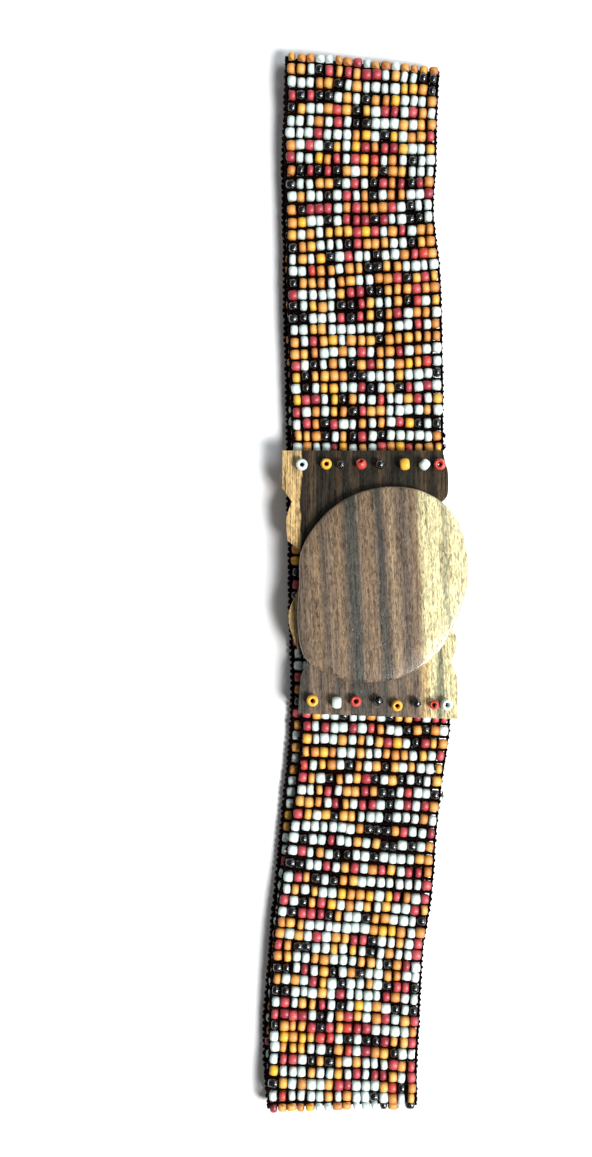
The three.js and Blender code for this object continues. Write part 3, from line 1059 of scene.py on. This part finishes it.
UPPER_STRIPES = [
    (-31.5, "honey"),
    (-27.5, "honey"),
    (-24.7, "honey"),
    (-24.2, "shadow line"),
    (-22.5, "umber"),
    (-20.5, "russet"),
    (-18.5, "umber"),
    (-17.0, "ebony"),
    (-14.5, "umber"),
    (-12.5, "ebony"),
    (-10.5, "russet"),
    (-8.0, "ebony"),
    (-6.0, "umber"),
    (-3.5, "russet"),
    (-1.5, "ebony"),
    (1.0, "umber"),
    (3.0, "ebony"),
    (5.5, "russet"),
    (8.0, "umber"),
    (10.5, "ebony"),
    (13.5, "umber"),
    (16.0, "ebony"),
    (19.0, "umber"),
    (22.0, "russet"),
    (25.0, "ebony"),
    (28.0, "russet"),
    (32.0, "umber"),
]
DISC_LOOKS = {"Streaks": 0.6, "Flecks": 0.85, "Pores": 0.55, "Roughness": 0.24}
LOWER_LOOKS = {"Streaks": 0.8, "Flecks": 0.8, "Pores": 0.6, "Roughness": 0.3}
UPPER_LOOKS = {"Streaks": 1.1, "Flecks": 0.7, "Pores": 0.4, "Roughness": 0.3}
disc_wood = board("striped disc wood", -3.0, DISC_STRIPES, DISC_LOOKS, 0.5, 0.5)
lower_wood = board("striped plate wood", -1.5, LOWER_STRIPES, LOWER_LOOKS, 0.3, 0.15)
upper_wood = board("dark plate wood", 0.5, UPPER_STRIPES, UPPER_LOOKS, 0.2, 0.05)

# %% [markdown]
# ## Plates, disc and post
#
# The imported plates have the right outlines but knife-sharp edges. A merged copy gets a small bevel
# from a modifier, because sanded and lacquered wood has none that cuts. The disc has its rounded rim
# already and only needs smooth shading. The post stays as packed, since it is hidden.


# %% Dress the wooden pieces
def merged_copy(node, name, material):
    """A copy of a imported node, with its loose triangles joined into one surface."""
    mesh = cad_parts[node].data.copy()
    mesh.name = name
    form = bmesh.new()
    form.from_mesh(mesh)
    bmesh.ops.remove_doubles(form, verts=form.verts, dist=1e-6)
    form.to_mesh(mesh)
    form.free()
    if "custom_normal" in mesh.attributes:
        mesh.attributes.remove(mesh.attributes["custom_normal"])
    mesh.materials.clear()
    mesh.materials.append(material)
    mesh.shade_smooth()
    piece = bpy.data.objects.new(name, mesh)
    bpy.context.scene.collection.objects.link(piece)
    return piece


EDGE_ROUND = 0.4 * MM
SHARP_FROM = math.radians(35)


def soften_edges(piece):
    """Round a piece's sharp edges a little."""
    bevel = piece.modifiers.new("soft edges", "BEVEL")
    bevel.width = EDGE_ROUND
    bevel.segments = 3
    bevel.limit_method = "ANGLE"
    bevel.angle_limit = SHARP_FROM
    bevel.harden_normals = True


upper_plate = merged_copy("upper_end_plate", "dark_plate", upper_wood)
lower_plate = merged_copy("lower_end_plate", "striped_plate", lower_wood)
disc = merged_copy("buckle_disc", "oval_disc", disc_wood)
for plate in (upper_plate, lower_plate):
    soften_edges(plate)
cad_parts["hook_post"].data.materials.clear()
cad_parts["hook_post"].data.materials.append(upper_wood)

# %% [markdown]
# ## Stopper beads
#
# The thread comes up through each plate, takes a bead and goes back down, so the bead stops it. These
# beads are seen from close by and from the hole's side, so they are subdivided copies of the packed
# ones, swollen first by about as much as subdividing shrinks them. A line through each bead's middle
# is found from its points, as the direction in which they spread least. The points near that line are
# drawn in towards it, and the end of the thread is laid along it. That line lies across the hole, so
# the thread crosses the hole here and doesn't run through it. The hole itself runs in the direction
# in which the points spread most.

# %% Dress the stopper beads
THREAD_END = 0.6 * MM
THREAD_DROP = 1.2 * MM
THREAD_REACH = 1.1 * MM
THREAD_ROUTE = [-1.6, -0.4, 1.0]  # along the line across the hole, in shares of that reach
SWELL = 1.09
NEAR_LINE = 1.0 * MM
DRAWN_TO = 0.72
STOPPER_TONES = {"white": 0.15, "amber": 0.92, "red": 0.95, "black": 0.5}
# The stoppers have no "rim" of their own. This one value sets how much painted top light and rim shade they
# get.
STOPPER_RIM = 0.45
STOPPER_COLOURS = {
    "upper": ["white", "amber", "black", "red", "black", "amber", "white", "red"],
    "lower": ["amber", "white", "red", "black", "amber", "black", "red", "white"],
}


def line_across(mesh):
    """The middle of a bead and the direction in which its points spread least, pointing up."""
    points = np.array([tuple(v.co) for v in mesh.vertices])
    middle = points.mean(axis=0)
    axes = np.linalg.eigh(np.cov((points - middle).T)).eigenvectors
    axis = Vector(axes[:, 0])
    return Vector(middle), axis if axis.z >= 0 else -axis


def draw_in(mesh, middle, axis):
    """Move the points near a line through a bead's middle to a share of their distance from it."""
    for vertex in mesh.vertices:
        offset = vertex.co - middle
        aside = offset - offset.dot(axis) * axis
        if aside.length < NEAR_LINE:
            vertex.co -= (1 - DRAWN_TO) * aside


def stopper(row, number, colour):
    """One stopper bead, and the line of its thread from the plate up into the bead."""
    node = f"{row}_stopper_{number}"
    piece = merged_copy(node, f"{row}_bead_{number}", glass[colour])
    for label, value in (("tone", STOPPER_TONES[colour]), ("rim", STOPPER_RIM)):
        attribute = piece.data.attributes.new(label, "FLOAT", "POINT")
        attribute.data.foreach_set("value", [value] * len(piece.data.vertices))
    rounding = piece.modifiers.new("round", "SUBSURF")
    rounding.levels = rounding.render_levels = 2
    middle, axis = line_across(piece.data)
    swell = Matrix.Translation(middle) @ Matrix.Scale(SWELL, 4) @ Matrix.Translation(-middle)
    piece.data.transform(swell)
    draw_in(piece.data, middle, axis)
    foot = Vector((middle.x, middle.y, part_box(node)[0].z - THREAD_DROP))
    line_up = [foot, *(middle + share * THREAD_REACH * axis for share in THREAD_ROUTE)]
    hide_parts(node)
    return piece, line_up


stoppers, thread_lines = [], []
for row, colours in STOPPER_COLOURS.items():
    for number, colour in enumerate(colours, start=1):
        piece, line_up = stopper(row, number, colour)
        stoppers.append(piece)
        thread_lines.append(line_up)
thread_ends = threads("thread_ends", thread_lines, THREAD_END)
print("stopper beads:", len(stoppers))

# %% [markdown]
# ## Joining the pieces to the frame
#
# The belt has no joint, so every piece rides on the one body. The beadwork stands for the imported band,
# and the dressed plates, disc and beads stand for theirs.

# %% Ride and replace
for piece in bead_pieces.values():
    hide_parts("beaded_band")
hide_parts("upper_end_plate")
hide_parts("lower_end_plate")
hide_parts("buckle_disc")
dressed = [*bead_pieces.values(), warp_piece, weft_piece, knot_piece, cord_piece, tangle_piece, thread_ends]
for piece in [*dressed, upper_plate, lower_plate, disc, *stoppers]:
    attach(piece, "root")
for unit in (bead, loop):
    bpy.data.objects.remove(unit)

# %% [markdown]
# ## Camera, floor and light
#
# The camera hangs straight above the surface, a little to the left of the belt, as for a product
# picture. The floor is pale and the light soft, from the right, so the disc throws its shadow to the
# upper left. The room is dim overhead, to keep the gaps between the beads dark, and white around the
# horizon, so that the floor has no visible end in a low view.

# %% Set the stage
EYE_HEIGHT = 450 * MM
EYE_LEFT = -31.6 * MM
EYE_UP = 2.25 * MM
VIEW_HEIGHT = 442 * MM
VIEW_DISTANCE = 445 * MM
FILM = 24.0
FLOOR_REACH = 0.6
FLOOR_DROP = 0.25 * MM
HORIZON_HEIGHT = 0.35
LIGHT_BELOW = 1.0
LIGHT_ABOVE = 0.12

post_low, post_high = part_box("hook_post")
post = (post_low + post_high) / 2
camera_data = bpy.data.cameras.new("camera")
camera_data.sensor_fit = "VERTICAL"
camera_data.sensor_height = FILM
camera_data.lens = FILM * VIEW_DISTANCE / VIEW_HEIGHT
camera = bpy.data.objects.new("camera", camera_data)
camera.location = (post.x + EYE_LEFT, post.y + EYE_UP, EYE_HEIGHT)
bpy.context.scene.collection.objects.link(camera)
bpy.context.scene.camera = camera

corners = [(-1, -1), (1, -1), (1, 1), (-1, 1)]
floor_points = [(x * FLOOR_REACH, y * FLOOR_REACH, -FLOOR_DROP) for x, y in corners]
floor_mesh = bpy.data.meshes.new("floor")
floor_mesh.from_pydata(floor_points, [], [(0, 1, 2, 3)])
floor = bpy.data.objects.new("floor", floor_mesh)
bpy.context.scene.collection.objects.link(floor)
paper, _, paper_shader = new_material("pale paper")
paper_shader.inputs["Base Color"].default_value = (1.0, 1.0, 1.0, 1)
paper_shader.inputs["Roughness"].default_value = 0.9
floor_mesh.materials.append(paper)


def soft_light(name, place, size, power, tint=(1, 1, 1)):
    """A square soft box that points at the belt."""
    data = bpy.data.lights.new(name, "AREA")
    data.shape = "SQUARE"
    data.size = size
    data.energy = power
    data.color = tint
    lamp = bpy.data.objects.new(name, data)
    lamp.location = place
    lamp.rotation_euler = (-Vector(place)).to_track_quat("-Z", "Y").to_euler()
    bpy.context.scene.collection.objects.link(lamp)


soft_light("window", (0.7, -0.5, 1.0), 0.5, 28.0)
soft_light("sky", (0.9, 0.5, 1.0), 0.8, 9.0, (0.85, 0.93, 1.0))
world = bpy.data.worlds.new("room")
world.use_nodes = True
room_tree = world.node_tree
outlook = result(put(room_tree, "ShaderNodeTexCoord"), "Generated")
height = result(put(room_tree, "ShaderNodeSeparateXYZ", {"Vector": outlook}), "Z")
room_light = ranged(room_tree, height, 0.0, HORIZON_HEIGHT, LIGHT_BELOW, LIGHT_ABOVE)
backdrop = room_tree.nodes["Background"]
backdrop.inputs["Color"].default_value = (1, 1, 1, 1)
room_tree.links.new(room_light, backdrop.inputs["Strength"])
bpy.context.scene.world = world
bpy.context.scene.view_settings.view_transform = "Standard"
